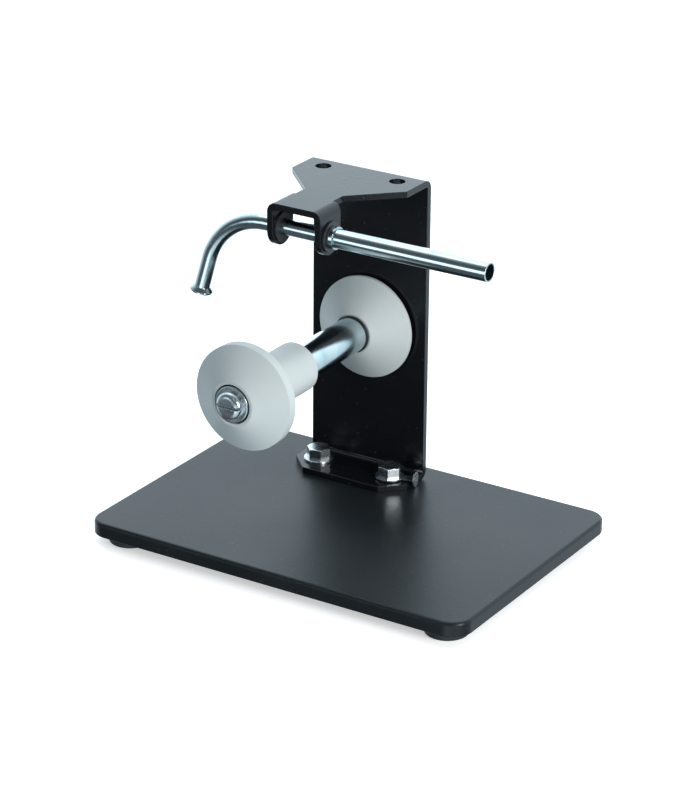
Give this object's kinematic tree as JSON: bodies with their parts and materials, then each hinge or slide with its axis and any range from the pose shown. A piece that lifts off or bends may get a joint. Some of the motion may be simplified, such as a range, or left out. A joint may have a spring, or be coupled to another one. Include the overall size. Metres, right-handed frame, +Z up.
{
  "type": "solder wire reel stand",
  "caption": "Bench stand that holds a reel of solder wire on an axle between a cone and a flanged hub, under a bent guide tube for the wire.",
  "frame": {"origin": "under the middle of the base plate, on the surface the feet stand on", "axes": "+X along the long side of the plate, towards the outlet end of the guide tube; -Y is where the axle points; +Z up"},
  "size_m": [0.2, 0.138, 0.162],
  "materials": {
    "black_paint": "semi-gloss black stove enamel over steel",
    "bracket_paint": "semi-gloss black stove enamel over bent steel sheet",
    "zinc_plate": "bright zinc plate on steel fasteners",
    "tinned_brass": "dull tinned brass",
    "bright_steel": "bright drawn and plated steel tube",
    "guide_plate": "bright plated thin steel tube",
    "grey_plastic": "satin light grey moulded plastic",
    "rubber_black": "matt black moulded rubber",
    "spring_black": "blackened spring steel",
    "bush_plastic": "mid grey low-friction plastic"
  },
  "bodies": {
    "frame": {"axle_back_washer": "zinc_plate", "axle_end_washer": "zinc_plate", "axle_nut": "zinc_plate", "axle_screw": "zinc_plate", "axle_tube": "bright_steel", "base_plate": "black_paint", "bolt_washer": "zinc_plate", "bracket_foot": "bracket_paint", "bracket_neck": "bracket_paint", "bracket_top_flange": "bracket_paint", "bracket_upright": "bracket_paint", "cone_clip": "spring_black", "ear_bush_left": "bush_plastic", "ear_bush_right": "bush_plastic", "earth_tag": "tinned_brass", "foot_back_left": "rubber_black", "foot_back_right": "rubber_black", "foot_front_left": "rubber_black", "foot_front_right": "rubber_black", "foot_screws": "zinc_plate", "foot_washers": "zinc_plate", "frame_bolts": "zinc_plate", "lock_washer": "zinc_plate", "thrust_washer": "bush_plastic"},
    "rear_cone": {"rear_cone": "grey_plastic"},
    "hub_carrier": {"hub_grip_ring": "bush_plastic"},
    "hub": {"front_hub": "grey_plastic"},
    "guide": {"guide_tube": "guide_plate", "outlet_sleeve": "guide_plate", "guide_collar": "guide_plate"}
  },
  "joints": [
    {"name": "rear_cone_spin", "type": "hinge", "parent": "frame", "child": "rear_cone", "pos_m": [-0.024, 0.046, 0.0845], "axis": [0, 1, 0], "continuous": true},
    {"name": "hub_slide", "type": "slide", "parent": "frame", "child": "hub_carrier", "axis": [0, -1, 0], "range_m": [-0.046, 0.058]},
    {"name": "hub_spin", "type": "hinge", "parent": "hub_carrier", "child": "hub", "pos_m": [-0.024, -0.02, 0.0845], "axis": [0, 1, 0], "continuous": true},
    {"name": "guide_swivel", "type": "hinge", "parent": "frame", "child": "guide", "pos_m": [-0.024, -0.002, 0.1485], "axis": [1, 0, 0], "continuous": true}
  ]
}
